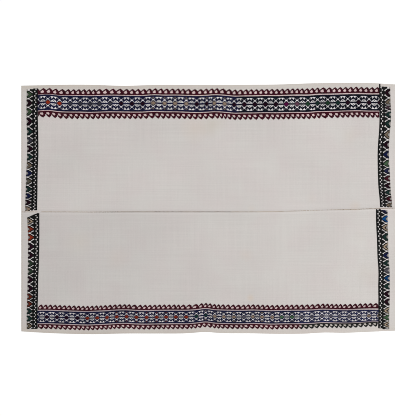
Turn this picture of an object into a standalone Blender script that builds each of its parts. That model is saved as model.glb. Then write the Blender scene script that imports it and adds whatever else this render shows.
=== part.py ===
"""Flat-woven wool kilim made of two loom-width panels, laid out flat.

The panels butt together along the middle, where they are sewn selvedge to selvedge. Each has
brocaded bands, which stand a little above the plain ground, and a narrow hem turned under at
both short ends. Units are metres. +X runs along the panels, +Y points to the far long edge,
+Z is up, and the underside lies on Z = 0.
"""

import bmesh
import bpy
import numpy as np

# Driving dimensions of the whole cover
COVER_LENGTH = 2.262
CLOTH_THICKNESS = 0.0020
SEAM_GAP = 0.0003

# How far the thicker places stand above the plain ground
BROCADE_LIFT = 0.0007
HEM_LIFT = 0.0009
SEAM_LIFT = 0.0006

# Width of the slope from the ground up to a thicker place, and of the raised seam edge
SLOPE = 0.003
SEAM_EDGE = 0.008

# Longest step between two columns, and number of rows across the plain ground
COLUMN_STEP = 0.036
GROUND_ROWS = 4

# Wandering of the three long lines of the cover. Each row is one place along it:
# along the cover from its middle | far edge | seam | near edge
LONG_LINES = (
    (-1.131, 0.743, -0.021, -0.743),
    (-1.040, 0.745, -0.021, -0.749),
    (-0.894, 0.748, -0.021, -0.756),
    (-0.701, 0.748, -0.022, -0.760),
    (-0.507, 0.742, -0.021, -0.756),
    (-0.314, 0.748, -0.021, -0.756),
    (-0.120, 0.748, -0.021, -0.754),
    (-0.023, 0.748, -0.021, -0.747),
    (0.073, 0.748, -0.021, -0.753),
    (0.267, 0.749, -0.021, -0.755),
    (0.412, 0.750, -0.019, -0.758),
    (0.606, 0.757, -0.013, -0.756),
    (0.703, 0.759, -0.010, -0.750),
    (0.800, 0.760, -0.008, -0.752),
    (0.993, 0.759, -0.002, -0.745),
    (1.131, 0.751, 0.002, -0.739),
)

# The short ends, each with the depth of its hem and the place and width of its brocaded band:
# side of the middle | hem | band from the end | band width
ENDS = (
    (-1, 0.020, 0.031, 0.073),
    (+1, 0.016, 0.021, 0.077),
)

# The two panels, each with the place and width of the brocaded band along its long edge:
# node | side of the seam | band from the edge | band width | colour | roughness
PANELS = (
    ("far_panel", +1, 0.030, 0.178, (0.60, 0.56, 0.53), 0.92),
    ("near_panel", -1, 0.026, 0.149, (0.56, 0.53, 0.50), 0.92),
)


def clear_scene():
    for item in list(bpy.data.objects):
        bpy.data.objects.remove(item, do_unlink=True)


def cover_collection():
    collection = bpy.data.collections.new("kilim_rug")
    bpy.context.scene.collection.children.link(collection)
    return collection


def wool(name, colour, roughness):
    """Matt undyed wool."""
    material = bpy.data.materials.new(name)
    material.use_nodes = True
    shader = material.node_tree.nodes["Principled BSDF"]
    shader.inputs["Base Color"].default_value = (*colour, 1.0)
    shader.inputs["Roughness"].default_value = roughness
    shader.inputs["Metallic"].default_value = 0.0
    return material


def smooth_through(places, values, at):
    """A cubic curve through the values at their places, read at the places in at."""
    slopes = np.gradient(values, places)
    before = np.clip(np.searchsorted(places, at, side="right") - 1, 0, len(places) - 2)
    span = places[before + 1] - places[before]
    t = (at - places[before]) / span
    rise = values[before + 1] - values[before]
    ease = t * t * (3 - 2 * t)
    leave = t * (1 - t) ** 2 * slopes[before]
    arrive = t * t * (1 - t) * slopes[before + 1]
    return values[before] + rise * ease + span * (leave - arrive)


def long_lines(columns):
    """The far edge, seam and near edge at each column, centred on Y = 0."""
    table = np.array(LONG_LINES)
    far, seam, near = (smooth_through(table[:, 0], table[:, k], columns) for k in (1, 2, 3))
    middle = (far.max() + near.min()) / 2
    return far - middle, seam - middle, near - middle


def raised_strip(start, width, lift):
    """Stations of a strip that rises, runs level and falls: distance | height added."""
    stop = start + width
    return [(start, 0.0), (start + SLOPE, lift), (stop - SLOPE, lift), (stop, 0.0)]


def end_stations(side, hem, band_from, band_width):
    """Columns at one end, from its edge inwards: place along the cover | height added."""
    depths = [(0.0, HEM_LIFT), (hem, HEM_LIFT), (hem + SLOPE, 0.0)]
    depths += raised_strip(band_from, band_width, BROCADE_LIFT)
    return [(side * (COVER_LENGTH / 2 - depth), lift) for depth, lift in depths]


def column_stations():
    """Columns along the cover, close together at its ends and even between them."""
    left, right = (end_stations(*end) for end in ENDS)
    steps = int(np.ceil((right[-1][0] - left[-1][0]) / COLUMN_STEP))
    between = np.linspace(left[-1][0], right[-1][0], steps + 1)[1:-1]
    return np.array([*left, *((place, 0.0) for place in between), *reversed(right)])


def row_stations(width, band_from, band_width):
    """Rows at one column, from the long edge to the seam: distance | height added."""
    band = raised_strip(band_from, band_width, BROCADE_LIFT)
    ground = np.linspace(band[-1][0], width - SEAM_EDGE, GROUND_ROWS + 1)[1:]
    seam_rows = [(distance, 0.0) for distance in ground] + [(width, SEAM_LIFT)]
    return np.array([(0.0, 0.0), *band, *seam_rows])


def sheet_between(columns, edge, seam_edge, side, band_from, band_width):
    """The panel's closed body: a grid drawn up into a slab, then fitted to its stations."""
    stations = [row_stations(side * (a - b), band_from, band_width) for a, b in zip(edge, seam_edge)]
    last_column, last_row = len(columns) - 1, len(stations[0]) - 1
    body = bmesh.new()
    bmesh.ops.create_grid(body, x_segments=last_column, y_segments=last_row, size=0.5)
    drawn = bmesh.ops.extrude_face_region(body, geom=body.faces[:])
    top = {item for item in drawn["geom"] if isinstance(item, bmesh.types.BMVert)}
    for vert in body.verts:
        column = round((vert.co.x + 0.5) * last_column)
        row = round((vert.co.y + 0.5) * last_row)
        place, column_lift = columns[column]
        distance, row_lift = stations[column][row]
        height = CLOTH_THICKNESS + max(column_lift, row_lift) if vert in top else 0.0
        vert.co = (place, edge[column] - side * distance, height)
    bmesh.ops.recalc_face_normals(body, faces=body.faces[:])
    return body


def panel(collection, node, side, band_from, band_width, colour, roughness):
    """One panel: flat below, and a little thicker at its bands, hems and seam."""
    columns = column_stations()
    far, seam, near = long_lines(columns[:, 0])
    edge = far if side > 0 else near
    seam_edge = seam + side * SEAM_GAP / 2
    body = sheet_between(columns, edge, seam_edge, side, band_from, band_width)
    mesh = bpy.data.meshes.new(node)
    body.to_mesh(mesh)
    body.free()
    mesh.materials.append(wool(f"{node}_wool", colour, roughness))
    collection.objects.link(bpy.data.objects.new(node, mesh))


def main():
    clear_scene()
    collection = cover_collection()
    for row in PANELS:
        panel(collection, *row)


main()
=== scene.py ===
"""Looks of a flat-woven wool kilim, lying flat on a pale floor and seen from straight above.

Two off-white panels are sewn selvedge to selvedge along the middle. Brocaded bands run along
all four sides: hexagons between two rows of running hooks along the long edges, and chevrons
with a dotted strip across both ends. Each is worked from a small chart, one letter a cell, and
every run of one colour in a chart row is laid as floats of yarn.

Metres, +Z up, +X along the panels, +Y towards the far long edge.
"""

from collections import defaultdict

import bmesh
import bpy
import numpy as np
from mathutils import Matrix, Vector


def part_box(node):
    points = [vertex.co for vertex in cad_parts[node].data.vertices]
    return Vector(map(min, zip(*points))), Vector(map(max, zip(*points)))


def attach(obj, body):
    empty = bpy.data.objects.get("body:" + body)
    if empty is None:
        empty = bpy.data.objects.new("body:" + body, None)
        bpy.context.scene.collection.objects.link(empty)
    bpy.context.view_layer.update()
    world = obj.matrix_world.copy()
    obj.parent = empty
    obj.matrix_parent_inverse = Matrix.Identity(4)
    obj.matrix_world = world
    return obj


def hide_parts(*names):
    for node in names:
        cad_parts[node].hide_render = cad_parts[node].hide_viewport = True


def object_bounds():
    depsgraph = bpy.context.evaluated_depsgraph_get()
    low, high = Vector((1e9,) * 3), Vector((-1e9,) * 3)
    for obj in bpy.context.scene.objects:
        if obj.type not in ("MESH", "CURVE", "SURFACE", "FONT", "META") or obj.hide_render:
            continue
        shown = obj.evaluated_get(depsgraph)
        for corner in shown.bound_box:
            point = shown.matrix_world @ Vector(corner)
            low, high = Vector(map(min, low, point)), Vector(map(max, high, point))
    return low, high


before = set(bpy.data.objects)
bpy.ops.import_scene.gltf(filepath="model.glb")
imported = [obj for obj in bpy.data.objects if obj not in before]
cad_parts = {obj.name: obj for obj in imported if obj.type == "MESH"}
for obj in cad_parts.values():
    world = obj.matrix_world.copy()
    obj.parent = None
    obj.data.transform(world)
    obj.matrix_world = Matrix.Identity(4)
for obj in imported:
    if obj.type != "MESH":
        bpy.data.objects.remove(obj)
CAD_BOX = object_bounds()

# Cloth: its plain thickness, how it rolls and thins at a free edge, its hems and selvedges
GROUND_TOP = 0.0020
EDGE_TIP = 0.0008
EDGE_ROLL = 0.0026
THIN_EDGE = 0.35
HEM_DEPTH = 0.013
HEM_SLOPE = 0.002
HEM_LIFT = 0.0006
SEAM_EDGE = 0.008
SEAM_LIFT = 0.0007
SEWN_EDGE = 0.001
LEVEL_EDGE = 0.05
EDGE_TINT_WIDTH = 0.045
# Band beside the seam painted with shade on the far panel and highlight on the near one: its
# distance from the seam and its width to each side
SELVEDGE = 0.009
SELVEDGE_WIDTH = 0.006

# Ripples, each where two waves cross: share of the height | turns of each along X and Y, start
RIPPLE = 0.00035
RIPPLES = (
    (0.6, (5.1, 1.3, 0.4), (-1.9, 4.3, 1.1)),
    (0.4, (17.0, 6.0, 0.0), (-4.0, 13.0, 0.7)),
)

# Grid of the cloth: step, usual width of a panel, rows near the long edges as shares of it, how
# near two places count as one, and angle of a sharp edge in radians
GRID_STEP = 0.018
PANEL_WIDTH = 0.75
EDGE_ROWS = (0.001, 0.0035, 0.006, 0.011, 0.016)
SAME_PLACE = 2e-4
SHARP_ANGLE = 1.0

# Yarn floats: height, how deep they lie, cells after which a run is tied down, how far that place
# and the ends stray and the ends reach, lift of dark yarns, and twist and shape of a float
FLOAT_HEIGHT = 0.0015
FLOAT_SINK = 0.0001
FLOAT_BEDDING = 0.35
LONGEST_FLOAT = 4
TIE_STRAY = 0.35
END_STRAY = 0.0002
OVERLAP = 0.0013
LOOSE_END = 0.0003
FULL_END = 0.0008
DARK_LIFT = 0.0003
YARN_UNEVENNESS = 0.15
TWISTS_PER_METRE = 2600.0
FLOAT_SIDES = 6
FLOAT_RINGS = 3
BLUNTNESS = 0.25
RING_GIRTH = 1.155
FIRST_SEED = 7
SEEDS = 97

# Charts, one letter a cell. N outline, W white, E white greyed as painted shade along the
# band's outer edge, A the motif's own colour, C its core, D notch dot, B small dot, K black,
# M hook yarn, . bare ground. The first two are half of their repeat, mirrored on their last
# column.
#
# Hexagons, from the outline of the band down to its centre line, on which they mirror too; the
# first column is the crossing between two hexagons.
HEXAGON = (
    "NNNNNNNNNNNN",
    "NNNNNNNNNNNN",
    "NNNNNNNNNNNN",
    "DDNNNNWWWWWW",
    "DDNNWWWWWWWN",
    "DNNWNNNWWWNN",
    "NNWWNNNWWNNN",
    "WWNNNNNWNNNN",
    "WWWNNNNNNNNB",
    "WWWNNNNNNNWW",
    "NNWWNNNNWWWN",
    "NNNWWNNWWWWN",
    "AANNWWNWWNWW",
    "AAAANWWWWWWW",
    "AAAAANNNNNNN",
    "AAAANNNNNNNN",
)

# Chevrons and dotted strip, from the inner edge of the end band outwards to the bare ground;
# the first column is the middle of a chevron, the last one the place where two of them meet.
CHEVRON = (
    "KKKKKKKKK",
    "KKKKKKKKK",
    "WKKKKKKKW",
    "WWKKKKKWW",
    "WWKKKKKWW",
    "KKKWWWKKK",
    "KKKWWWKKK",
    "KKKKWKKKK",
    "KKKKKKKKK",
    "KKKKKKKKK",
    "KKKKWKKKK",
    "AKKWWKKKK",
    "AKKWWWKKK",
    "AAKKWWKKK",
    "AAAKKWWKK",
    "AAAKKWWKK",
    "CAAAKKWWK",
    "CCAAAKKWW",
    "CCCAAKKWW",
    "WKAAAKKWW",
    "EEEKAAKWW",
    "EEEKAAKEE",
    "EEEEAAEEE",
)

# Share of the end band that is its dotted strip, rows of its inner line, and width of the dark
# edge where it was cut on a slant
STRIP_SHARE = 0.41
LINE_ROWS = 2
SLANT_EDGE = 0.006

# Running hooks, whole, from the tip down to the line that they grow from: with the eye high
# up, and with the eye low down.
HOOK_TIP = (
    "......M....",
    "....MMMM...",
    "...MMMMMM..",
    "..MMMMMMMM.",
)
HOOK_TALL = (
    *HOOK_TIP,
    ".MMMWWMMMM.",
    "MMMWWWMMMMM",
    "MMWWWWMMMMM",
    "MWWWWWWMMMM",
    "MWWWWWWMMMM",
    "MWWWWWWMMMM",
    "MMWWWWMMMMM",
    *["MMMMMMMMMMM"] * 3,
)
HOOK_LOW = (
    *HOOK_TIP,
    ".MMMMMMMMM.",
    ".MMMWWMMMM.",
    "MMWWWWWMMMM",
    "MWWWWWWMMMM",
    "MWWWWWMMMMM",
    "MWWWWWMMMMM",
    *["MMMMMMMMMMM"] * 3,
)

# Where the tip stands in a hook's width, the rows of its foot, and the gap between the hexagons
# and the pale line outside them
HOOK_APEX = 0.66
HOOK_FOOT = 2
LINE_GAP = 0.0010

# Long bands, by panel. row: height of a chart row. white and line: yarns inside the hexagons and
# of the line outside them. squeeze: how much narrower the band is woven, by place. start: place
# of the first crossing. motifs, one row for each crossing between two hexagons: yarn of its
# diamond | yarn of the dots in its notches | distance to the next | centre line of the band.
# outlines: yarn of the outlines | number of crossings that it goes on for.
# hooks: side of the band | rows of place along and distance of their line from the centre line
# | row height | chart | first apex | (number, pitch) repeats | yarns of the hook and its eye,
# each pair with the place up to which it is used.
LONG_ENDS = (-1.0306, 1.0343)
MAROON_HOOKS = (("maroon", "blush", 1.2),)
LONG_BANDS = {
    "far_panel": {
        "row": 0.00308,
        "white": "chalk", "line": "blush",
        "squeeze": ((-0.25, 0.978), (0.00, 1.0)),
        "start": -1.0318,
        "motifs": (
            ("wine", "navy", 0.0605, 0.6392), ("orange", "navy", 0.0714, 0.6432),
            ("orange", "navy", 0.0647, 0.6357), ("slate", "navy", 0.0605, 0.6341),
            ("slate", "navy", 0.0593, 0.6338), ("slate", "navy", 0.0563, 0.6324),
            ("slate", "navy", 0.0653, 0.6340), ("slate", "navy", 0.0665, 0.6356),
            ("wine", "navy", 0.0647, 0.6349), ("wine", "navy", 0.0659, 0.6339),
            ("wine", "navy", 0.0629, 0.6341), ("beige", "tan", 0.0696, 0.6378),
            ("beige", "tan", 0.0629, 0.6357), ("beige", "tan", 0.0684, 0.6356),
            ("beige", "tan", 0.0629, 0.6336), ("wine", "navy", 0.0617, 0.6315),
            ("wine", "tan", 0.0423, 0.6338), ("beige", "tan", 0.0653, 0.6364),
            ("beige", "tan", 0.0563, 0.6335), ("wine", "navy", 0.0617, 0.6280),
            ("wine", "black", 0.0641, 0.6290), ("wine", "black", 0.0635, 0.6294),
            ("wine", "dark_green", 0.0629, 0.6310), ("wine", "dark_green", 0.0635, 0.6302),
            ("magenta", "slate", 0.0653, 0.6317), ("rose", "slate", 0.0659, 0.6327),
            ("leaf", "dark_green", 0.0575, 0.6328), ("dark_green", "dark_green", 0.0617, 0.6371),
            ("leaf", "black", 0.0617, 0.6383), ("dark_green", "black", 0.0593, 0.6398),
            ("wine", "black", 0.0665, 0.6415), ("wine", "black", 0.0623, 0.6424),
            ("wine", "black", 0.0653, 0.6405), ("wine", "black", 0.0600, 0.6405),
        ),
        "outlines": (("navy", 20), ("midnight", 14)),
        "hooks": (
            (+1, ((-1.10, 0.0540), (-0.93, 0.0549), (-0.72, 0.0576), (-0.35, 0.0574),
                  (-0.17, 0.0588), (0.31, 0.0608), (0.55, 0.0628), (1.00, 0.0622)),
             0.0026, HOOK_TALL, -0.9936, (
                (4, 0.0378), (6, 0.0313), (4, 0.0414), (9, 0.0345), (2, 0.0317), (2, 0.0367),
                (4, 0.0332), (1, 0.0417), (3, 0.0332), (9, 0.0313), (3, 0.0289), (3, 0.0323),
                (1, 0.0399), (9, 0.0321),
             ), MAROON_HOOKS),
            (-1, ((-1.1, 0.0565), (-0.93, 0.0585), (-0.85, 0.0600), (1.1, 0.0600)),
             0.0030, HOOK_LOW, -0.9972, (
                (1, 0.0382), (4, 0.0346), (9, 0.0317), (5, 0.0327), (2, 0.0359), (4, 0.0319),
                (6, 0.0329), (1, 0.0350), (3, 0.0242), (5, 0.0319), (2, 0.0374), (7, 0.0306),
                (4, 0.0315), (1, 0.0452), (2, 0.0326), (7, 0.0301),
             ), MAROON_HOOKS),
        ),
    },
    "near_panel": {
        "row": 0.00238,
        "white": "white", "line": "shell",
        "squeeze": ((0.88, 1.0), (1.03, 0.91)),
        "start": -1.0342,
        "motifs": (
            ("navy", "navy", 0.0563, -0.6559), ("wine", "navy", 0.0623, -0.6559),
            ("wine", "navy", 0.0569, -0.6577), ("wine", "navy", 0.0672, -0.6599),
            ("wine", "navy", 0.0593, -0.6621), ("rust", "wine", 0.0599, -0.6637),
            ("rust", "navy", 0.0593, -0.6613), ("rust", "navy", 0.0581, -0.6589),
            ("rust", "brick", 0.0605, -0.6550), ("rust", "brick", 0.0593, -0.6538),
            ("rust", "brick", 0.0617, -0.6574), ("rust", "brick", 0.0605, -0.6583),
            ("rust", "brick", 0.0575, -0.6572), ("rust", "brick", 0.0581, -0.6565),
            ("rust", "navy", 0.0641, -0.6561), ("rust", "navy", 0.0605, -0.6561),
            ("dark_green", "navy", 0.0569, -0.6521), ("dark_green", "tan", 0.0551, -0.6456),
            ("beige", "slate", 0.0532, -0.6525), ("beige", "slate", 0.0617, -0.6548),
            ("beige", "tan", 0.0599, -0.6561), ("grey", "slate", 0.0551, -0.6563),
            ("beige", "slate", 0.0544, -0.6547), ("beige", "tan", 0.0635, -0.6564),
            ("beige", "slate", 0.0557, -0.6585), ("green", "slate", 0.0635, -0.6569),
            ("green", "slate", 0.0581, -0.6561), ("grey", "slate", 0.0611, -0.6555),
            ("grey", "slate", 0.0617, -0.6540), ("grey", "slate", 0.0538, -0.6497),
            ("grey", "slate", 0.0514, -0.6510), ("grey", "slate", 0.0593, -0.6524),
            ("grey", "slate", 0.0593, -0.6529), ("grey", "slate", 0.0599, -0.6507),
            ("tan", "slate", 0.0617, -0.6488), ("tan", "dusk", 0.0600, -0.6488),
        ),
        "outlines": (("navy", 27), ("dusk", 9)),
        "hooks": (
            (+1, ((-1.10, 0.0484), (-0.70, 0.0486), (-0.42, 0.0494), (-0.24, 0.0494),
                  (-0.10, 0.0485), (0.80, 0.0486), (0.90, 0.0500), (1.03, 0.0505)),
             0.0024, HOOK_LOW, -1.0084, (
                (8, 0.0285), (6, 0.0267), (6, 0.0293), (1, 0.0370), (6, 0.0289), (2, 0.0297),
                (1, 0.0267), (3, 0.0370), (5, 0.0258), (4, 0.0312), (6, 0.0288), (5, 0.0296),
                (5, 0.0318), (5, 0.0267), (5, 0.0308), (1, 0.0332),
             ), MAROON_HOOKS),
            (-1, ((-1.10, 0.0482), (-0.30, 0.0487), (-0.05, 0.0478), (0.40, 0.0478),
                  (0.60, 0.0487), (0.80, 0.0462), (0.90, 0.0446), (1.03, 0.0405)),
             0.0023, HOOK_LOW, -1.0068, (
                (7, 0.0290), (7, 0.0271), (3, 0.0255), (8, 0.0304), (7, 0.0282), (1, 0.0215),
                (4, 0.0292), (2, 0.0243), (4, 0.0298), (1, 0.0264), (1, 0.0353), (9, 0.0297),
                (1, 0.0279), (5, 0.0317), (4, 0.0273), (4, 0.0308), (2, 0.0289),
             ), (("maroon", "blush", 0.56), ("charcoal", "ecru", 1.2))),
        ),
    },
}

# End bands, from the far side to the near side, one row for each chevron: its yarn | distance
# to the next one | inner edge of the band | width of the band. outwards is the way it grows,
# reach where the cloth was cut or joined, line_end where the inner line stops, slant how far
# the cut leans, slip how far the dotted strip and the chevrons stand off to the far side, dark
# the yarn between the chevrons, first the place of the first chevron.
END_BANDS = (
    {
        "panel": "far_panel", "outwards": -1, "dark": "black", "slant": 0.0, "first": 0.6915,
        "reach": (0.722, -0.014), "line_end": 0.722, "slip": (0.0030, -0.0012),
        "chevrons": (
            ("moss", 0.0520, -1.0310, 0.0675), ("wine", 0.0532, -1.0323, 0.0672),
            ("moss", 0.0581, -1.0330, 0.0671), ("wine", 0.0623, -1.0322, 0.0671),
            ("dark_green", 0.0557, -1.0307, 0.0668), ("slate", 0.0478, -1.0298, 0.0663),
            ("wine", 0.0502, -1.0292, 0.0665), ("dark_green", 0.0502, -1.0297, 0.0671),
            ("tan", 0.0478, -1.0317, 0.0674), ("indigo", 0.0472, -1.0337, 0.0676),
            ("olive", 0.0502, -1.0346, 0.0687), ("dark_green", 0.0411, -1.0349, 0.0696),
            ("indigo", 0.0381, -1.0354, 0.0701), ("wine", 0.0399, -1.0364, 0.0708),
            ("beige", 0.0399, -1.0372, 0.0713),
        ),
    },
    {
        "panel": "near_panel", "outwards": -1, "dark": "black", "slant": 0.45, "first": -0.0774,
        "reach": (-0.024, -0.727), "line_end": -0.024, "slip": (0.0, 0.0),
        "chevrons": (
            ("cream", 0.0472, -1.0234, 0.0721), ("rust", 0.0490, -1.0232, 0.0695),
            ("rust", 0.0563, -1.0234, 0.0674), ("wine", 0.0532, -1.0242, 0.0665),
            ("wine", 0.0508, -1.0251, 0.0659), ("fern", 0.0472, -1.0262, 0.0653),
            ("fern", 0.0490, -1.0281, 0.0644), ("wine", 0.0538, -1.0301, 0.0631),
            ("wine", 0.0502, -1.0310, 0.0629), ("brick", 0.0436, -1.0316, 0.0640),
            ("brick", 0.0442, -1.0331, 0.0644), ("dark_green", 0.0436, -1.0343, 0.0640),
            ("dark_green", 0.0448, -1.0344, 0.0643), ("tan", 0.0420, -1.0344, 0.0647),
        ),
    },
    {
        "panel": "far_panel", "outwards": +1, "dark": "soot", "slant": 0.0, "first": 0.7000,
        "reach": (0.735, 0.008), "line_end": 0.752, "slip": (0.0012, -0.0003),
        "chevrons": (
            ("wine", 0.0605, 1.0337, 0.0665), ("tan", 0.0290, 1.0356, 0.0670),
            ("mauve", 0.0411, 1.0359, 0.0685), ("dark_green", 0.0551, 1.0362, 0.0688),
            ("dark_green", 0.0678, 1.0358, 0.0667), ("tan", 0.0611, 1.0321, 0.0647),
            ("wine", 0.0587, 1.0272, 0.0652), ("indigo", 0.0569, 1.0249, 0.0669),
            ("green", 0.0430, 1.0252, 0.0687), ("dusk", 0.0454, 1.0261, 0.0708),
            ("maroon", 0.0442, 1.0272, 0.0722), ("wine", 0.0411, 1.0293, 0.0718),
            ("dark_green", 0.0375, 1.0327, 0.0709), ("maroon", 0.0399, 1.0367, 0.0714),
            ("tan", 0.0400, 1.0393, 0.0724),
        ),
    },
    {
        "panel": "near_panel", "outwards": +1, "dark": "soot", "slant": 0.0, "first": -0.0103,
        "reach": (-0.009, -0.729), "line_end": -0.009, "slip": (0.0042, -0.0015),
        "chevrons": (
            ("navy", 0.0514, 1.0149, 0.0682), ("azure", 0.0520, 1.0149, 0.0694),
            ("cream", 0.0569, 1.0167, 0.0686), ("dark_green", 0.0593, 1.0199, 0.0670),
            ("cream", 0.0532, 1.0221, 0.0662), ("indigo", 0.0472, 1.0235, 0.0664),
            ("dark_green", 0.0430, 1.0264, 0.0666), ("grey", 0.0466, 1.0297, 0.0664),
            ("blue", 0.0502, 1.0298, 0.0670), ("dark_green", 0.0442, 1.0286, 0.0678),
            ("wine", 0.0490, 1.0291, 0.0676), ("wine", 0.0544, 1.0296, 0.0668),
            ("cream", 0.0399, 1.0288, 0.0659), ("green", 0.0430, 1.0283, 0.0656),
            ("cream", 0.0420, 1.0281, 0.0662),
        ),
    },
)

# Yarns: colour in linear light | how far single floats stray from it | width of a float as a
# share of its row | slot
YARNS = {
    "white": ((0.66, 0.63, 0.62), 0.10, 1.15, "white_yarn"),
    "chalk": ((0.705, 0.678, 0.680), 0.10, 1.15, "white_yarn"),
    "blush": ((0.58, 0.458, 0.448), 0.10, 1.15, "white_yarn"),
    "shell": ((0.42, 0.345, 0.350), 0.10, 1.15, "white_yarn"),
    "ecru": ((0.47, 0.435, 0.395), 0.10, 1.15, "white_yarn"),
    # Greyed white standing for painted shade along the outer edge of the end bands
    "painted_shade_white": ((0.275, 0.26, 0.245), 0.15, 1.15, "white_yarn"),
    "navy": ((0.0080, 0.0090, 0.0300), 0.45, 2.10, "navy_yarn"),
    "indigo": ((0.0050, 0.0075, 0.0400), 0.35, 1.6, "navy_yarn"),
    "dusk": ((0.0130, 0.0150, 0.0470), 0.40, 1.85, "navy_yarn"),
    "midnight": ((0.0042, 0.0050, 0.0110), 0.45, 2.05, "navy_yarn"),
    "black": ((0.0060, 0.0066, 0.0066), 0.45, 2.15, "black_yarn"),
    "soot": ((0.0090, 0.0095, 0.0095), 0.45, 2.05, "black_yarn"),
    "charcoal": ((0.0150, 0.0150, 0.0145), 0.40, 1.35, "black_yarn"),
    "maroon": ((0.0370, 0.0052, 0.0105), 0.40, 1.62, "maroon_yarn"),
    "wine": ((0.0120, 0.0023, 0.0066), 0.35, 1.6, "maroon_yarn"),
    "mauve": ((0.0400, 0.0220, 0.0300), 0.30, 1.5, "maroon_yarn"),
    "magenta": ((0.0650, 0.0030, 0.0350), 0.25, 1.5, "magenta_yarn"),
    "rose": ((0.0980, 0.0430, 0.0650), 0.25, 1.3, "magenta_yarn"),
    "orange": ((0.2450, 0.0280, 0.0080), 0.25, 1.35, "orange_yarn"),
    "rust": ((0.1650, 0.0215, 0.0090), 0.25, 1.35, "orange_yarn"),
    "brick": ((0.0950, 0.0160, 0.0080), 0.30, 1.4, "orange_yarn"),
    "green": ((0.0500, 0.1000, 0.0500), 0.30, 1.4, "green_yarn"),
    "leaf": ((0.0140, 0.0420, 0.0210), 0.30, 1.4, "green_yarn"),
    "moss": ((0.0340, 0.0580, 0.0300), 0.30, 1.4, "green_yarn"),
    "fern": ((0.0190, 0.0310, 0.0190), 0.30, 1.4, "green_yarn"),
    "dark_green": ((0.0080, 0.0235, 0.0200), 0.35, 1.6, "dark_green_yarn"),
    "azure": ((0.0020, 0.0520, 0.1850), 0.25, 1.6, "blue_yarn"),
    "blue": ((0.0020, 0.0290, 0.1000), 0.30, 1.6, "blue_yarn"),
    "slate": ((0.0310, 0.0300, 0.0390), 0.30, 1.5, "slate_yarn"),
    "grey": ((0.0740, 0.0680, 0.0820), 0.30, 1.4, "slate_yarn"),
    "cream": ((0.3600, 0.2850, 0.2050), 0.20, 1.15, "beige_yarn"),
    "beige": ((0.2300, 0.1700, 0.1250), 0.20, 1.2, "beige_yarn"),
    "tan": ((0.1600, 0.1200, 0.0850), 0.25, 1.2, "beige_yarn"),
    "olive": ((0.0750, 0.0670, 0.0500), 0.25, 1.4, "olive_yarn"),
}

# Yarns that lie low between the dark ones
PALE = ("white", "chalk", "blush", "shell", "ecru", "painted_shade_white")

# Chevrons whose core is of another yarn
CORES = {"cream": "wine", "tan": "olive"}

# Joining thread: place along the seam | how dark it has stayed there
SEAM_TONE = (
    (-1.131, 0.75), (-1.100, 0.45), (-1.020, 0.10), (-1.000, 0.30), (-0.780, 0.33),
    (-0.674, 0.50), (-0.613, 0.80), (-0.414, 0.75), (-0.365, 0.70), (-0.232, 0.88),
    (-0.081, 0.72), (0.000, 0.92), (0.113, 0.90), (0.173, 0.62), (0.280, 0.42),
    (0.397, 0.28), (0.687, 0.20), (0.736, 0.12), (0.803, 0.50), (0.875, 0.45),
    (0.960, 0.70), (1.050, 0.60), (1.131, 0.80),
)
SEAM_STRAY = 0.12

# From pale to dark: colour | how far single stitches stray from it | slot
THREADS = {
    "pale": ((0.560, 0.530, 0.510), 0.10, "far_wool"),
    "faded": ((0.440, 0.365, 0.285), 0.12, "joining_thread"),
    "worn": ((0.255, 0.190, 0.133), 0.15, "joining_thread"),
    "dark": ((0.078, 0.054, 0.035), 0.25, "joining_thread"),
}

# Hemming thread: colour | how far single stitches stray from it
HEM_THREAD = ((0.36, 0.33, 0.30), 0.15)

# Stitches of the seam and hems: pitch, length and width, height, how far they stray from their
# place, lean and its stray in degrees, bare cloth left at both ends, and how far the seam's
# stitches stand to the far side
SEAM_PITCH = 0.0032
SEAM_STITCH = (0.0050, 0.0021)
SEAM_STITCH_HEIGHT = 0.0009
SEAM_STITCH_LENGTHS = (0.85, 1.15)
SEAM_WANDER = 0.0003
SEAM_LEAN = (72, 7)
SEAM_BARE = 0.002
SEAM_ASIDE = 0.0010
HEM_PITCH = 0.012
HEM_STITCH = (0.0036, 0.0011)
HEM_STITCH_HEIGHT = 0.0008
HEM_WANDER = (0.0006, 0.001)
HEM_LEAN = (20, 12)
HEM_BARE = 0.02

dice = np.random.default_rng(41)


# Curves read from tables and from the frame

def smooth_through(table, at):
    """A cubic curve through (place, value) rows, read at the places in at."""
    places, values = np.array(sorted(table)).T
    slopes = np.gradient(values, places)
    at = np.clip(at, places[0], places[-1])
    before = np.clip(np.searchsorted(places, at, side="right") - 1, 0, len(places) - 2)
    span = places[before + 1] - places[before]
    t = (at - places[before]) / span
    ease = t * t * (3 - 2 * t)
    bend = t * (1 - t) * ((1 - t) * slopes[before] - t * slopes[before + 1])
    return values[before] + ease * (values[before + 1] - values[before]) + span * bend


def outline_of(panel):
    """A panel's outer edge and seam edge, as two functions of the place along it."""
    points = np.array([vert.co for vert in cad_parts[panel].data.vertices])
    middle = (points[:, 1].min() + points[:, 1].max()) / 2
    edges = {}
    for side in (+1, -1):
        half = points[side * (points[:, 1] - middle) > 0]
        places = np.unique(np.round(half[:, 0], 4))
        reach = [(side * half[abs(half[:, 0] - x) < SAME_PLACE, 1]).max() * side
                 for x in places]
        edges[side] = (places, np.array(reach))
    outer = +1 if middle > 0 else -1
    return (lambda x: np.interp(x, *edges[outer])), (lambda x: np.interp(x, *edges[-outer]))


def motif_places(start, steps):
    """Places from start on, with one step from each to the next."""
    return start + np.concatenate([[0.0], np.cumsum(steps)])


def cell_edges(crossings, columns):
    """Places of the edges of the cells, of which columns lie between each two crossings."""
    number = len(crossings) - 1
    return np.interp(np.arange(columns * number + 1) / columns, np.arange(number + 1), crossings)


def line_through(places, values):
    """The smooth line of a band, as a function of the place along it."""
    rows = list(zip(places, values))
    return lambda at: smooth_through(rows, at)


def spread_out(runs):
    """(entry, number) rows as one entry for each motif."""
    return [entry for entry, number in runs for _ in range(number)]


# Objects and nodes

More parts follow.
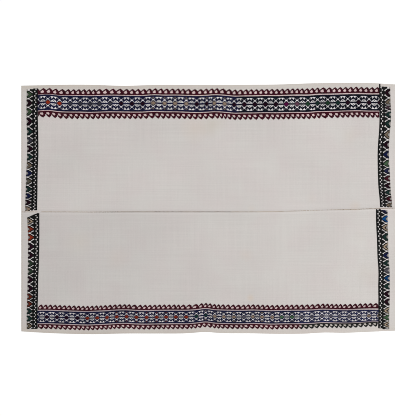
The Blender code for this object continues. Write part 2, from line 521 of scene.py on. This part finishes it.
def placed(name, data):
    """A new object in the scene, at the origin."""
    made = bpy.data.objects.new(name, data)
    bpy.context.collection.objects.link(made)
    return made


def new_material(name):
    material = bpy.data.materials.new(name)
    material.use_nodes = True
    tree = material.node_tree
    return material, tree, tree.nodes["Principled BSDF"]


def feed(tree, target, inputs):
    """Gives a node its inputs, by position or name: each a value or another node's output."""
    for key, entry in inputs.items():
        if isinstance(entry, bpy.types.NodeSocket):
            tree.links.new(entry, target.inputs[key])
        else:
            target.inputs[key].default_value = entry


def node(tree, kind, inputs=None, **properties):
    made = tree.nodes.new(kind)
    for key, value in properties.items():
        setattr(made, key, value)
    feed(tree, made, inputs or {})
    return made


def maths(tree, operation, first, second=0.0, third=0.0):
    made = node(tree, "ShaderNodeMath", operation=operation,
                inputs={0: first, 1: second, 2: third})
    return made.outputs[0]


def blend_colours(tree, factor, first, second, way="MIX"):
    made = node(tree, "ShaderNodeMix", data_type="RGBA", blend_type=way,
                inputs={0: factor, 6: first, 7: second})
    return made.outputs[2]


def tinted(tree, colour, tint):
    return blend_colours(tree, 1.0, colour, tint, "MULTIPLY")


def grey(tree, level):
    made = node(tree, "ShaderNodeCombineColor", inputs={0: level, 1: level, 2: level})
    return made.outputs[0]


def object_place(tree):
    return node(tree, "ShaderNodeTexCoord").outputs["Object"]


def stretched(tree, place, scale):
    made = node(tree, "ShaderNodeVectorMath", operation="MULTIPLY",
                inputs={0: place, 1: scale})
    return made.outputs[0]


def noise(tree, place, scale, detail=2.0):
    made = node(tree, "ShaderNodeTexNoise",
                inputs={"Vector": place, "Scale": scale, "Detail": detail})
    return made.outputs["Fac"]


def ranged(tree, value, low, high, to_low, to_high):
    made = node(tree, "ShaderNodeMapRange",
                inputs={0: value, 1: low, 2: high, 3: to_low, 4: to_high})
    return made.outputs[0]


def spread(tree, value, low, high):
    """A noise, which mostly keeps within NOISE_REACH, spread out from low to high."""
    return ranged(tree, value, *NOISE_REACH, low, high)


def attribute(tree, name):
    return node(tree, "ShaderNodeAttribute", attribute_name=name).outputs["Fac"]


def bumped(tree, height, distance, strength, below=None):
    made = node(tree, "ShaderNodeBump",
                inputs={"Height": height, "Distance": distance, "Strength": strength})
    if below is not None:
        tree.links.new(below, made.inputs["Normal"])
    return made.outputs["Normal"]


# Materials

NOISE_REACH = (0.3, 0.7)

# Ground wool of each panel: at the left end | at the right end | factor on the band beside
# the seam, painted shade on the far panel and painted highlight on the near one
FAR_WOOL = ((0.515, 0.484, 0.466), (0.508, 0.478, 0.460), 0.93)
NEAR_WOOL = ((0.478, 0.452, 0.436), (0.507, 0.478, 0.458), 1.07)

# What makes its tone uneven: density along X, Y and Z | detail | how far it swings
UNEVENNESS = {
    "mottle": ((3.0, 3.0, 3.0), 3.0, 0.035),
    "warp_streak": ((2.5, 170.0, 1.0), 3.0, 0.030),
    "weft_bar": ((190.0, 3.0, 1.0), 3.0, 0.022),
    "slub": ((90.0, 420.0, 1.0), 2.0, 0.030),
}

# Share of the right end's wool at the left and right end, with patches in which it is larger,
# and patches of two tinges
DRIFT = (-0.1, 0.9)
DRIFT_PATCHES = 1.3
DRIFT_STRAY = 0.2
TINGE_PATCHES = 6.0
TINGE_REACH = (0.38, 0.62)
TINGES = ((1.010, 0.995, 0.999, 1.0), (0.993, 1.004, 0.999, 1.0))

# Weave and fuzz. WAVE_UNIT is the scale at which a wave texture has waves of one metre. A bump
# is its depth and its strength.
THREAD_PITCH = 0.0016
WAVE_UNIT = 0.31416
WEAVE_BUMP = (0.0006, 0.6)
FUZZ = 900.0
FUZZ_BUMP = (0.0004, 0.35)
WOOL_ROUGHNESS = (0.86, 0.96)

# Brocading yarn: patches of its dye and how far they swing, its fibres, the bump of its plies
DYE_PATCHES = 9.0
DYE_SWING = (0.85, 1.15)
FIBRES = 220.0
PLY_BUMP = (0.0003, 0.5)
YARN_ROUGHNESS = (0.80, 0.95)

# Darker, yellower tint of the outer edges and ends: colour, two places along the panel and its
# strength at each. Then the colours of stains, the last one for painted shade in soft creases.
EDGE_TINT = (0.93, 0.880, 0.790, 1.0)
EDGE_TINT_ALONG = (-1.0, 1.1, 0.8, 0.35)
RUST = (0.52, 0.42, 0.33, 1.0)
TEA = (0.48, 0.440, 0.39, 1.0)
# Painted shade of soft creases
CREASE_SHADE = (0.46, 0.43, 0.41, 1.0)

# Stains, and painted shade of soft creases in the three rows of the greyest colour; the four
# rows on the seam line make the cloth beside the seam darker and warmer. Each: place on the
# cloth | radius | strength | colour
STAINS_AND_CREASE_SHADE = (
    ((0.025, 0.505), 0.095, 0.95, TEA), ((-0.085, 0.480), 0.090, 0.28, RUST),
    ((0.845, 0.439), 0.070, 0.15, RUST), ((0.400, -0.205), 0.070, 0.35, CREASE_SHADE),
    ((0.020, -0.172), 0.090, 0.28, CREASE_SHADE), ((0.070, -0.100), 0.060, 0.22, CREASE_SHADE),
    ((0.950, -0.390), 0.090, 0.30, TEA), ((0.917, -0.172), 0.070, 0.22, TEA),
    ((-0.780, -0.200), 0.100, 0.20, RUST), ((0.228, -0.281), 0.050, 0.15, RUST),
    ((0.255, -0.540), 0.024, 0.45, RUST), ((0.890, 0.015), 0.040, 0.25, RUST),
    ((0.620, 0.060), 0.045, 0.10, RUST), ((-0.560, -0.300), 0.080, 0.10, RUST),
    ((0.261, -0.001), 0.030, 0.15, RUST), ((-0.793, -0.009), 0.050, 0.12, RUST),
)


def weave_height(tree, place):
    """Plain weave: every thread passes over one and under one."""
    waves = [
        node(tree, "ShaderNodeTexWave", bands_direction=axis,
             inputs={"Vector": place, "Scale": WAVE_UNIT / THREAD_PITCH, "Distortion": 0.0})
        for axis in "XY"
    ]
    across, along = (maths(tree, "SUBTRACT", wave.outputs["Fac"], 0.5) for wave in waves)
    return maths(tree, "MULTIPLY_ADD", across, along, 0.25)


def ground_wool(name, left, right, selvedge):
    """Undyed plain-woven wool, its tone drifting from the left end to the right: mottled,
    streaked along warp and weft, darker and yellower at the outer edges, with painted shade
    (far panel) and painted highlight (near panel) on a band beside the seam."""
    material, tree, shader = new_material(name)
    place = object_place(tree)
    uneven = {key: noise(tree, stretched(tree, place, dense), 1.0, detail)
              for key, (dense, detail, _) in UNEVENNESS.items()}
    tones = [spread(tree, uneven[key], -swing, swing)
             for key, (_, _, swing) in UNEVENNESS.items()]
    level = tones[0]
    for tone in (*tones[1:], 1.0):
        level = maths(tree, "ADD", level, tone)
    along = node(tree, "ShaderNodeSeparateXYZ", inputs={0: place}).outputs[0]
    drift = maths(tree, "ADD", ranged(tree, along, -1.0, 1.0, *DRIFT),
                  spread(tree, noise(tree, place, DRIFT_PATCHES), 0.0, DRIFT_STRAY))
    wool = blend_colours(tree, drift, (*left, 1.0), (*right, 1.0))
    wool = tinted(tree, wool, grey(tree, level))
    patches = ranged(tree, noise(tree, place, TINGE_PATCHES), *TINGE_REACH, 0.0, 1.0)
    wool = tinted(tree, wool, blend_colours(tree, patches, *TINGES))
    # Stains, and for the greyest rows painted shade of soft creases, each blended in towards its
    # colour
    for centre, radius, strength, stain_and_shade_colour in STAINS_AND_CREASE_SHADE:
        away = node(tree, "ShaderNodeVectorMath", operation="DISTANCE",
                    inputs={0: place, 1: (*centre, 0.0)}).outputs["Value"]
        ragged = maths(tree, "ADD", away,
                       ranged(tree, uneven["mottle"], 0.0, 1.0, -radius, radius))
        wool = blend_colours(tree, ranged(tree, ragged, 0.0, radius, strength, 0.0), wool, stain_and_shade_colour)
    # Darker, yellower tint towards the outer edges and ends, stronger at the left end
    share = maths(tree, "MULTIPLY", attribute(tree, "edge_tint"), ranged(tree, along, *EDGE_TINT_ALONG))
    wool = blend_colours(tree, share, wool, tinted(tree, wool, EDGE_TINT))
    # Painted shade on the far panel and painted highlight on the near one, on a band beside the
    # seam, standing for the light on the seam's relief
    seam_relief_paint = tinted(tree, wool, (selvedge, selvedge, selvedge, 1.0))
    wool = blend_colours(tree, attribute(tree, "selvedge"), wool, seam_relief_paint)
    fuzz = bumped(tree, noise(tree, place, FUZZ), *FUZZ_BUMP)
    feed(tree, shader, {
        "Base Color": wool,
        "Normal": bumped(tree, weave_height(tree, place), *WEAVE_BUMP, fuzz),
        "Roughness": spread(tree, uneven["slub"], *WOOL_ROUGHNESS),
        "Specular IOR Level": 0.25,
        "Sheen Weight": 0.10,
    })
    return material


def spun_yarn(name, colour, stray):
    """Plied wool: each float a little lighter or darker, with the twist of its plies."""
    material, tree, shader = new_material(name)
    place = object_place(tree)
    shade = ranged(tree, attribute(tree, "shade"), 0.0, 1.0, 1.0 - stray, 1.0 + stray)
    dye = spread(tree, noise(tree, place, DYE_PATCHES), *DYE_SWING)
    level = maths(tree, "MULTIPLY", shade, dye)
    plies = maths(tree, "SINE", attribute(tree, "twist"))
    feed(tree, shader, {
        "Base Color": tinted(tree, (*colour, 1.0), grey(tree, level)),
        "Normal": bumped(tree, plies, *PLY_BUMP),
        "Roughness": spread(tree, noise(tree, place, FIBRES), *YARN_ROUGHNESS),
        "Specular IOR Level": 0.04,
    })
    return material


# Cloth

def grid_places(low, high, step, fine=()):
    """Even places from low to high, with the fine distances added at both ends."""
    steps = max(2, int(round((high - low) / step)))
    places = set(np.round(np.linspace(low, high, steps + 1), 6))
    places |= {round(low + gap, 6) for gap in fine} | {round(high - gap, 6) for gap in fine}
    return np.array(sorted(places))


def ripples(x, y):
    """Very soft unevenness of cloth that lies flat on a floor."""
    height = 0.0
    for share, *waves in RIPPLES:
        first, second = (np.sin(a * x + b * y + start) for a, b, start in waves)
        height += share * (first * second)
    return RIPPLE * height


def cloth_top(to_edge, to_end, to_seam, x, y):
    """Height of the upper face: rolled at its free edges, thicker at hems and selvedges."""
    hem = HEM_LIFT * np.clip((HEM_DEPTH + HEM_SLOPE - to_end) / HEM_SLOPE, 0.0, 1.0)
    seam = SEAM_LIFT * np.clip(1 - to_seam / SEAM_EDGE, 0.0, 1.0) ** 2
    inside = np.clip(to_end / LEVEL_EDGE, 0.0, 1.0) * np.clip(to_edge / LEVEL_EDGE, 0.0, 1.0)
    full = GROUND_TOP + hem + seam + ripples(x, y) * inside
    free = min(to_edge, to_end, to_seam + SEWN_EDGE)
    roll = np.sqrt(1 - (1 - np.clip(free / EDGE_ROLL, 0.0, 1.0)) ** 2)
    return full * (THIN_EDGE + (1 - THIN_EDGE) * roll)


def cloth(node_name, material):
    """One panel's sheet, fitted to the outline of its solid. Returns it and its flat area."""
    outer, seam = outline_of(node_name)
    low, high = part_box(node_name)
    fine = (EDGE_TIP, EDGE_ROLL, HEM_DEPTH, HEM_DEPTH + HEM_SLOPE)
    columns = grid_places(low[0], high[0], GRID_STEP, fine)
    shares = grid_places(0.0, 1.0, GRID_STEP / PANEL_WIDTH, EDGE_ROWS)
    last_column, last_row = len(columns) - 1, len(shares) - 1
    body = bmesh.new()
    edge_tint = body.verts.layers.float.new("edge_tint")
    selvedge = body.verts.layers.float.new("selvedge")
    bmesh.ops.create_grid(body, x_segments=last_column, y_segments=last_row, size=0.5)
    drawn = bmesh.ops.extrude_face_region(body, geom=body.faces[:])
    top = {item for item in drawn["geom"] if isinstance(item, bmesh.types.BMVert)}
    for vert in body.verts:
        x = columns[round((vert.co.x + 0.5) * last_column)]
        share = shares[round((vert.co.y + 0.5) * last_row)]
        edge_y, seam_y = outer(x), seam(x)
        y = edge_y + share * (seam_y - edge_y)
        to_edge, to_seam = abs(y - edge_y), abs(y - seam_y)
        to_end = min(x - low[0], high[0] - x)
        z = cloth_top(to_edge, to_end, to_seam, x, y) if vert in top else 0.0
        vert.co = (x, y, z)
        vert[edge_tint] = 1 - np.clip(min(to_edge, 4 * to_end) / EDGE_TINT_WIDTH, 0.0, 1.0)
        # Mask of the band beside the seam that ground_wool paints with shade on the far panel and
        # highlight on the near one
        vert[selvedge] = 1 - np.clip(abs(to_seam - SELVEDGE) / SELVEDGE_WIDTH, 0.0, 1.0)
    bmesh.ops.recalc_face_normals(body, faces=body.faces[:])
    mesh = bpy.data.meshes.new(f"{node_name}_cloth")
    body.to_mesh(mesh)
    body.free()
    mesh.materials.append(material)
    mesh.shade_smooth()
    mesh.set_sharp_from_angle(angle=SHARP_ANGLE)
    widths = abs(outer(columns) - seam(columns))
    area = np.sum((widths[1:] + widths[:-1]) / 2 * np.diff(columns))
    return placed(f"{node_name}_cloth", mesh), area


# Floats, gathered as rows of x, y, length, width and heading for each panel and yarn

laid = defaultdict(list)


def lay_row(panel, yarns, cells, v, width, place):
    """Lays one chart row: yarns holds a name or None for each cell between the places in
    cells, v is how far across the band the row lies, and place turns both into x and y."""
    start = 0
    while start < len(yarns):
        stop = start + 1
        while stop < len(yarns) and yarns[stop] == yarns[start]:
            stop += 1
        if yarns[start]:
            lay_run(panel, yarns[start], cells[start:stop + 1], v, width, place)
        start = stop


def lay_run(panel, yarn, cells, v, width, place):
    """Breaks one run of a colour into floats, each tied down after a few cells."""
    number = len(cells) - 1
    pieces = int(np.ceil(number / LONGEST_FLOAT))
    shift = dice.uniform(-TIE_STRAY, TIE_STRAY) if pieces > 1 else 0.0
    breaks = np.linspace(0, number, pieces + 1)
    breaks[1:-1] += shift * number / pieces
    bounds = np.interp(breaks, np.arange(number + 1), cells)
    fullness = YARNS[yarn][2]
    loose_end = LOOSE_END + FULL_END * (fullness - 1)
    width *= fullness
    way = np.sign(cells[-1] - cells[0])
    for index in range(pieces):
        spare = [OVERLAP if inner else loose_end for inner in (index > 0, index < pieces - 1)]
        a = place(bounds[index] - way * (spare[0] + dice.normal(0, END_STRAY)), v)
        b = place(bounds[index + 1] + way * (spare[1] + dice.normal(0, END_STRAY)), v)
        run = b - a
        centre = (a + b) / 2
        laid[panel, yarn].append(
            (centre[0], centre[1], np.hypot(*run), width, np.arctan2(run[1], run[0]))
        )


def mirrored(row):
    return row + row[-2:0:-1]


def hexagon_band(panel, band):
    """The hexagon rows: the chart mirrored across the centre line. Returns that line."""
    diamonds, dots, steps, heights = zip(*band["motifs"])
    crossings = motif_places(band["start"], steps[:-1])
    centre = line_through(crossings, heights)
    own = {"A": diamonds, "N": spread_out(band["outlines"]), "D": dots}
    plain = {"W": band["white"], "B": "slate"}
    rows = [mirrored(row) for row in HEXAGON]
    columns = len(rows[0])
    rows = rows + rows[-2::-1]
    cells = cell_edges(crossings, columns)
    cells = cells - (cells[1] - cells[0]) / 2

    def place(s, v):
        return np.array([s, centre(s) + v * np.interp(s, *zip(*band["squeeze"]))])

    for index, row in enumerate(rows):
        yarns = []
        for cell in range(len(cells) - 1):
            letter = row[cell % columns]
            yarns.append(plain.get(letter) or own[letter][round(cell / columns)])
        v = band["row"] * (len(HEXAGON) - 1 - index)
        lay_row(panel, yarns, cells, v, band["row"], place)
    return centre


def hook_row(panel, centre, side, away, height, chart, first, repeats, yarns):
    """One row of running hooks, growing outwards on one side of the band to both end lines."""
    columns = len(chart[0])
    pitches = spread_out((pitch, number) for number, pitch in repeats)
    apexes = motif_places(first, pitches)
    knots = apexes - HOOK_APEX * np.gradient(apexes)
    knots = np.array([2 * knots[0] - knots[1], *knots, 2 * knots[-1] - knots[-2]])
    cells = cell_edges(knots, columns)

    def place(s, v):
        distance = np.interp(s, *zip(*away)) + v
        return np.array([s, centre(s) + side * distance])

    for index, row in enumerate(chart):
        names = []
        for cell in range(len(cells) - 1):
            hook, eye = next(pair for *pair, reach in yarns if cells[cell] < reach)
            picked = {"M": hook, "W": eye, ".": None}
            middle = (cells[cell] + cells[cell + 1]) / 2
            inside = LONG_ENDS[0] < middle < LONG_ENDS[1]
            names.append(picked[row[cell % columns]] if inside else None)
        v = height * (len(chart) - HOOK_FOOT - 0.5 - index)
        lay_row(panel, names, cells, v, height, place)


def pale_line(panel, band, centre, side, away, height):
    """The plain pale rows between the hexagons and the foot of the hooks."""
    start, stop = LONG_ENDS
    cells = np.linspace(start, stop, int((stop - start) / band["row"]) + 1)

    def outline(s):
        squeeze = np.interp(s, *zip(*band["squeeze"]))
        return band["row"] * (len(HEXAGON) - 0.5) * squeeze + LINE_GAP

    def foot(s):
        return np.interp(s, *zip(*away)) - HOOK_FOOT * height

    rows = max(1, int((foot(0.0) - outline(0.0)) / band["row"]))

    def place(s, share):
        v = outline(s) + share * (foot(s) - outline(s))
        return np.array([s, centre(s) + side * v])

    width = (foot(0.0) - outline(0.0)) / rows
    for index in range(rows):
        names = [band["line"]] * (len(cells) - 1)
        lay_row(panel, names, cells, (index + 0.5) / rows, width, place)


def chevron_band(band):
    """One end band of one panel, cut off where the panel's cloth was cut or joined."""
    names, steps, inner_edges, widths = zip(*band["chevrons"])
    crossings = band["first"] - motif_places(0.0, steps[:-1])
    inner_edge = line_through(crossings, inner_edges)
    width_at = line_through(crossings, widths)
    crossings = np.array([crossings[0] + steps[0], *crossings, crossings[-1] - steps[-1]])
    names = [band["dark"], *names, names[-1]]
    rows = [mirrored(row) for row in CHEVRON]
    columns = len(rows[0])
    cells = cell_edges(crossings, columns)
    cells = cells - (cells[1] - cells[0]) / 2
    top, bottom = band["reach"]

    def place(s, share):
        strip, outer = band["slip"]
        slip = strip if share < STRIP_SHARE else outer
        return np.array([inner_edge(s) + band["outwards"] * width_at(s) * share, s + slip])

    for index, row in enumerate(rows):
        share = (index + 0.5) / len(rows)
        limit = band["line_end"] if index < LINE_ROWS else top
        limit -= band["slant"] * share * widths[0]
        yarns = []
        for cell in range(len(cells) - 1):
            middle = (cells[cell] + cells[cell + 1]) / 2
            motif = names[round(cell / columns)]
            # E: white greyed for painted shade along the band's outer edge
            picked = {"W": "white", "E": "painted_shade_white", "K": band["dark"], "A": motif,
                      "C": CORES.get(motif, motif)}
            name = picked[row[cell % columns]] if bottom < middle < limit else None
            on_slant = band["slant"] and limit - SLANT_EDGE < middle < limit
            yarns.append(band["dark"] if on_slant else name)
        lay_row(band["panel"], yarns, cells, share, np.mean(widths) / len(rows), place)


# Geometry Nodes: one float of yarn on every point

# Its inputs: name | kind | usual value
FLOAT_INPUTS = (
    ("Points", "Geometry", None),
    ("Height", "Float", FLOAT_HEIGHT),
    ("Unevenness", "Float", YARN_UNEVENNESS),
    ("Twists per metre", "Float", TWISTS_PER_METRE),
    ("Seed", "Int", FIRST_SEED),
    ("Yarn", "Material", None),
)


def float_tree():
    """Puts a rounded float of plied yarn on every point, turned and sized by the point.
    Returns the tree and the identifier of each of its inputs."""
    tree = bpy.data.node_groups.new("yarn_floats", "GeometryNodeTree")
    keys = {}
    for name, kind, value in FLOAT_INPUTS:
        made = tree.interface.new_socket(name=name, in_out="INPUT",
                                         socket_type=f"NodeSocket{kind}")
        if value is not None:
            made.default_value = value
        keys[name] = made.identifier
    tree.interface.new_socket(name="Floats", in_out="OUTPUT", socket_type="NodeSocketGeometry")
    inputs = tree.nodes.new("NodeGroupInput").outputs

    def named(name):
        made = node(tree, "GeometryNodeInputNamedAttribute", data_type="FLOAT",
                    inputs={"Name": name})
        return made.outputs["Attribute"]

    def stored(geometry, name, value, domain="POINT"):
        made = node(tree, "GeometryNodeStoreNamedAttribute", data_type="FLOAT", domain=domain,
                    inputs={"Geometry": geometry, "Name": name, "Value": value})
        return made.outputs[0]

    def drawn(seed):
        made = node(tree, "FunctionNodeRandomValue", data_type="FLOAT",
                    inputs={"Min": 0.0, "Max": 1.0, "Seed": seed})
        return made.outputs[1]

    def times(first, second):
        return maths(tree, "MULTIPLY", first, second)

    bead = node(tree, "GeometryNodeMeshUVSphere",
                inputs={"Segments": FLOAT_SIDES, "Rings": FLOAT_RINGS, "Radius": 1.0})
    lying = node(tree, "GeometryNodeTransform",
                 inputs={"Geometry": bead.outputs["Mesh"],
                         "Rotation": (np.pi / 2, 0.0, np.pi / 2)})
    local = node(tree, "ShaderNodeSeparateXYZ",
                 inputs={0: node(tree, "GeometryNodeInputPosition").outputs[0]})
    reach = maths(tree, "POWER", maths(tree, "ABSOLUTE", local.outputs[0]), BLUNTNESS)
    reach = times(maths(tree, "SIGN", local.outputs[0]), reach)
    girth = [times(local.outputs[axis], RING_GIRTH) for axis in (1, 2)]
    fuller = node(tree, "ShaderNodeCombineXYZ", inputs={0: reach, 1: girth[0], 2: girth[1]})
    padded = node(tree, "GeometryNodeSetPosition",
                  inputs={"Geometry": lying.outputs[0], "Position": fuller.outputs[0]})
    along = stored(padded.outputs[0], "along", local.outputs[0])

    swell = maths(tree, "MULTIPLY_ADD", maths(tree, "SUBTRACT", drawn(inputs["Seed"]), 0.5),
                  inputs["Unevenness"], 1.0)
    size = node(tree, "ShaderNodeCombineXYZ", inputs={
        0: times(named("length"), 0.5),
        1: times(times(named("width"), 0.5), swell),
        2: times(times(inputs["Height"], 0.5), swell),
    })
    turn = node(tree, "ShaderNodeCombineXYZ", inputs={2: named("heading")})
    floats = node(tree, "GeometryNodeInstanceOnPoints", inputs={
        "Points": inputs["Points"], "Instance": along,
        "Rotation": turn.outputs[0], "Scale": size.outputs[0],
    })
    shade = drawn(maths(tree, "ADD", inputs["Seed"], 1.0))
    shaded = stored(floats.outputs[0], "shade", shade, "INSTANCE")
    real = node(tree, "GeometryNodeRealizeInstances", inputs={0: shaded})
    wound = times(times(named("along"), named("length")), inputs["Twists per metre"])
    smooth = node(tree, "GeometryNodeSetShadeSmooth",
                  inputs={"Geometry": stored(real.outputs[0], "twist", wound)})
    dyed = node(tree, "GeometryNodeSetMaterial",
                inputs={"Geometry": smooth.outputs[0], "Material": inputs["Yarn"]})
    result = tree.nodes.new("NodeGroupOutput")
    tree.links.new(dyed.outputs[0], result.inputs[0])
    return tree, keys


def floats_piece(name, rows, yarn, tree, keys, surface, height=FLOAT_HEIGHT):
    """One mesh of all the floats in rows: x, y, length, width and heading of each. surface is
    the height that they are bedded on."""
    table = np.array(rows)
    guide_mesh = bpy.data.meshes.new(f"{name}_guide")
    guide_mesh.vertices.add(len(table))
    level = surface + height * 0.5 - FLOAT_SINK - height * FLOAT_BEDDING
    places = np.column_stack([table[:, :2], np.full(len(table), level)])
    guide_mesh.vertices.foreach_set("co", places.ravel())
    for key, column in (("length", 2), ("width", 3), ("heading", 4)):
        made = guide_mesh.attributes.new(key, "FLOAT", "POINT")
        made.data.foreach_set("value", table[:, column].astype(np.float32))
    guide = placed(f"{name}_guide", guide_mesh)
    modifier = guide.modifiers.new("floats", "NODES")
    modifier.node_group = tree
    modifier[keys["Height"]] = height
    modifier[keys["Seed"]] = len(rows) % SEEDS
    modifier[keys["Yarn"]] = yarn
    graph = bpy.context.evaluated_depsgraph_get()
    mesh = bpy.data.meshes.new_from_object(guide.evaluated_get(graph))
    mesh.name = name
    mesh.materials.pop(index=0)
    bpy.data.objects.remove(guide, do_unlink=True)
    return placed(name, mesh)


# Sewing

def seam_rows():
    """Overcast stitches across the seam, in the thread whose tone fits the place."""
    low, high = CAD_BOX
    far_seam = outline_of("far_panel")[1]
    near_seam = outline_of("near_panel")[1]
    names = list(THREADS)
    last = len(names) - 1
    rows = {name: [] for name in names}
    length, width = SEAM_STITCH
    for x in np.arange(low[0] + SEAM_BARE, high[0] - SEAM_BARE, SEAM_PITCH):
        x = x + dice.normal(0, SEAM_WANDER)
        y = (far_seam(x) + near_seam(x)) / 2 + SEAM_ASIDE + dice.normal(0, SEAM_WANDER)
        tone = np.interp(x, *zip(*SEAM_TONE)) + dice.uniform(-SEAM_STRAY, SEAM_STRAY)
        name = names[int(np.clip(round(tone * last), 0, last))]
        rows[name].append((x, y, length * dice.uniform(*SEAM_STITCH_LENGTHS), width,
                           np.radians(dice.normal(*SEAM_LEAN))))
    return rows


def hem_rows(panel):
    """Small hemming stitches along both short ends of a panel."""
    low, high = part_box(panel)
    length, width = HEM_STITCH
    across, along = HEM_WANDER
    rows = []
    for x in (low[0] + HEM_DEPTH, high[0] - HEM_DEPTH):
        for y in np.arange(low[1] + HEM_BARE, high[1] - HEM_BARE, HEM_PITCH):
            y = y + dice.normal(0, along)
            rows.append((x + dice.normal(0, across), y, length, width,
                         np.radians(dice.normal(*HEM_LEAN))))
    return rows


# Stage

PHOTO_SIDE = 416
PIXEL = 0.00605
CAMERA_PLACE = (-0.0021, 0.0030, 6.0)
SENSOR = 36.0
VIEW_DEPTH = 60.0
FLOOR_SIZE = 14.0
FLOOR_GAP = 0.0004
SKY = 0.72
LAMP_PLACE = (3.2, -0.3, 6.6)
LAMP_AIM = (0.2, 0.1, 0.0)
LAMP_SIZE = 3.0
LAMP_POWER = 285.0


def floor():
    bpy.ops.mesh.primitive_plane_add(size=FLOOR_SIZE, location=(0.0, 0.0, -FLOOR_GAP))
    made = bpy.context.object
    made.name = "floor"
    material, tree, shader = new_material("floor_white")
    tone = spread(tree, noise(tree, object_place(tree), 2.0), 0.96, 0.98)
    feed(tree, shader, {"Base Color": grey(tree, tone), "Roughness": 0.9,
                        "Specular IOR Level": 0.1})
    made.data.materials.append(material)


def soft_lamp():
    data = bpy.data.lights.new("key", "AREA")
    data.shape = "DISK"
    data.size = LAMP_SIZE
    data.energy = LAMP_POWER
    lamp = placed("key", data)
    lamp.location = LAMP_PLACE
    aim = Vector(LAMP_AIM) - Vector(LAMP_PLACE)
    lamp.rotation_euler = aim.to_track_quat("-Z", "Y").to_euler()


def lights_and_world():
    world = bpy.data.worlds.new("studio")
    world.use_nodes = True
    feed(world.node_tree, world.node_tree.nodes["Background"],
         {"Color": (1.0, 1.0, 1.0, 1.0), "Strength": SKY})
    bpy.context.scene.world = world
    soft_lamp()
    bpy.context.scene.view_settings.view_transform = "Standard"
    bpy.context.scene.cycles.filter_width = 1.0


def overhead_camera():
    data = bpy.data.cameras.new("overhead")
    data.sensor_width = SENSOR
    data.lens = SENSOR * CAMERA_PLACE[2] / (PHOTO_SIDE * PIXEL)
    data.clip_end = VIEW_DEPTH
    camera = placed("overhead", data)
    camera.location = CAMERA_PLACE
    bpy.context.scene.camera = camera


# Everything together

def work_bands():
    for panel, band in LONG_BANDS.items():
        centre = hexagon_band(panel, band)
        for side, away, height, chart, first, repeats, yarns in band["hooks"]:
            pale_line(panel, band, centre, side, away, height)
            hook_row(panel, centre, side, away, height, chart, first, repeats, yarns)
    for band in END_BANDS:
        chevron_band(band)


def dress_panel(panel, slot, wool, tree, keys, yarns):
    """One panel's cloth with its brocade and hem stitches, all riding on the one body."""
    sheet, area = cloth(panel, ground_wool(f"{slot}_weave", *wool))
    on_top = []
    for (owner, yarn), rows in sorted(laid.items()):
        if owner == panel:
            lift = 0.0 if yarn in PALE else DARK_LIFT
            piece = floats_piece(f"{panel}_{yarn}_brocade", rows, yarns[yarn], tree, keys,
                                 GROUND_TOP + lift)
            on_top.append(piece)
    stitches = floats_piece(f"{panel}_hem_stitches", hem_rows(panel), yarns["hem"], tree, keys,
                            GROUND_TOP, HEM_STITCH_HEIGHT)
    on_top.append(stitches)
    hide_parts(panel)
    for piece in (sheet, *on_top):
        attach(piece, "root")


def sew_seam(tree, keys):
    for name, rows in seam_rows().items():
        colour, stray, slot = THREADS[name]
        thread = spun_yarn(f"{name}_joining_thread", colour, stray)
        piece = floats_piece(f"seam_{name}_stitches", rows, thread, tree, keys,
                             GROUND_TOP + SEAM_LIFT, SEAM_STITCH_HEIGHT)
        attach(piece, "root")


def main():
    overhead_camera()
    lights_and_world()
    floor()
    work_bands()
    tree, keys = float_tree()
    yarns = {name: spun_yarn(f"{name}_yarn", colour, stray)
             for name, (colour, stray, _, _) in YARNS.items()}
    yarns["hem"] = spun_yarn("hem_thread", *HEM_THREAD)
    dress_panel("far_panel", "far_wool", FAR_WOOL, tree, keys, yarns)
    dress_panel("near_panel", "near_wool", NEAR_WOOL, tree, keys, yarns)
    sew_seam(tree, keys)


main()
